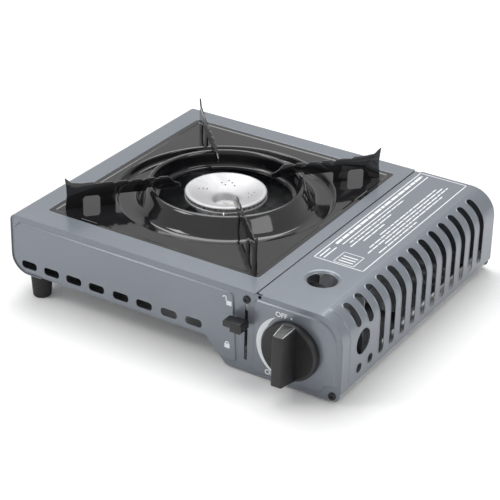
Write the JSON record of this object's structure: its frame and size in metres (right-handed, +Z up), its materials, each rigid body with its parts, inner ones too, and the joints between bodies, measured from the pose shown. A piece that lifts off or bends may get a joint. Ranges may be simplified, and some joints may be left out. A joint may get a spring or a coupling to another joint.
{
  "type": "portable camping stove",
  "caption": "Low rectangular gas camping stove with a single burner, pan supports, drip pan, control knob, lock lever and a hinged canister bay.",
  "frame": {"origin": "on the ground under the middle of the stove", "axes": "+X to the canister side, +Y to the back, +Z up"},
  "size_m": [0.34, 0.3113, 0.109],
  "materials": {
    "grey_paint": "satin powder coat",
    "galvanised": "galvanised sheet",
    "black_enamel": "gloss enamel",
    "black_plastic": "fine texture",
    "black_rubber": "matte",
    "dark_screw": "black zinc",
    "zinc_steel": "zinc plated",
    "burner_alloy": "bare cast",
    "brass": "turned",
    "copper": "drawn tube",
    "white_ceramic": "glazed",
    "cam_nylon": "moulded",
    "lead_sleeve": "sleeve"
  },
  "bodies": {
    "body": {"base_tray": "galvanised", "body_shell": "grey_paint", "burner_base_screws": "zinc_steel", "burner_body": "burner_alloy", "burner_bracket": "galvanised", "burner_cap": "burner_alloy", "burner_cap_screw": "zinc_steel", "burner_seat_screws": "zinc_steel", "canister_cradle": "galvanised", "canister_guide": "galvanised", "cover_pin_front": "zinc_steel", "cover_pin_rear": "zinc_steel", "divider_wall": "galvanised", "electrode_clip": "galvanised", "electrode_insulator": "white_ceramic", "electrode_wire": "zinc_steel", "foot_front_left": "black_rubber", "foot_rear_left": "black_rubber", "front_panel": "grey_paint", "front_panel_screws": "dark_screw", "gas_pipe": "copper", "igniter_body": "black_plastic", "igniter_lead": "lead_sleeve", "inlet_seal": "black_rubber", "jet_nozzle": "brass", "lever_pivot_pin": "zinc_steel", "mixing_tube": "galvanised", "pad_front_right": "black_rubber", "pad_rear_right": "black_rubber", "pusher_guide_studs": "zinc_steel", "rear_panel": "grey_paint", "rear_panel_screws": "dark_screw", "regulator_body": "burner_alloy", "regulator_cap": "galvanised", "regulator_cap_screws": "zinc_steel", "regulator_diaphragm": "black_rubber", "regulator_mount_screws": "dark_screw", "regulator_spring": "zinc_steel"},
    "cover": {"canister_cover": "grey_paint"},
    "knob": {"control_knob": "black_plastic", "valve_spindle": "brass", "igniter_cam": "cam_nylon", "spindle_clip": "zinc_steel"},
    "plunger": {"igniter_plunger": "zinc_steel"},
    "lever": {"lock_lever": "galvanised", "lever_knob": "black_plastic", "lever_drive_pin": "zinc_steel"},
    "pusher": {"canister_pusher": "galvanised"},
    "pan": {"drip_pan": "black_enamel", "pot_support_front_left": "black_enamel", "pot_support_front_right": "black_enamel", "pot_support_rear_left": "black_enamel", "pot_support_rear_right": "black_enamel"}
  },
  "joints": [
    {"name": "cover_hinge", "type": "hinge", "parent": "body", "child": "cover", "pos_m": [0.09, 0.013, 0.077], "axis": [0, -1, 0], "range_deg": [0, 95]},
    {"name": "knob_turn", "type": "hinge", "parent": "body", "child": "knob", "pos_m": [0.123, -0.14, 0.039], "axis": [0, -1, 0], "range_deg": [0, 147]},
    {"name": "igniter_slide", "type": "slide", "parent": "body", "child": "plunger", "axis": [0, 0, 1], "range_m": [0, 0.00501]},
    {"name": "lever_swing", "type": "hinge", "parent": "body", "child": "lever", "pos_m": [0.0775, -0.066, 0.035], "axis": [1, 0, 0], "range_deg": [0, 24.4]},
    {"name": "pusher_slide", "type": "slide", "parent": "body", "child": "pusher", "axis": [0, -1, 0], "range_m": [0, 0.00593]},
    {"name": "pan_lift", "type": "slide", "parent": "body", "child": "pan", "axis": [0, 0, 1], "range_m": [0, 0.06]}
  ],
  "couplings": [
    {"joint": "igniter_slide", "follows": "knob_turn", "m_per_rad": 0.0019488},
    {"joint": "pusher_slide", "follows": "lever_swing", "m_per_rad": 0.013901}
  ]
}
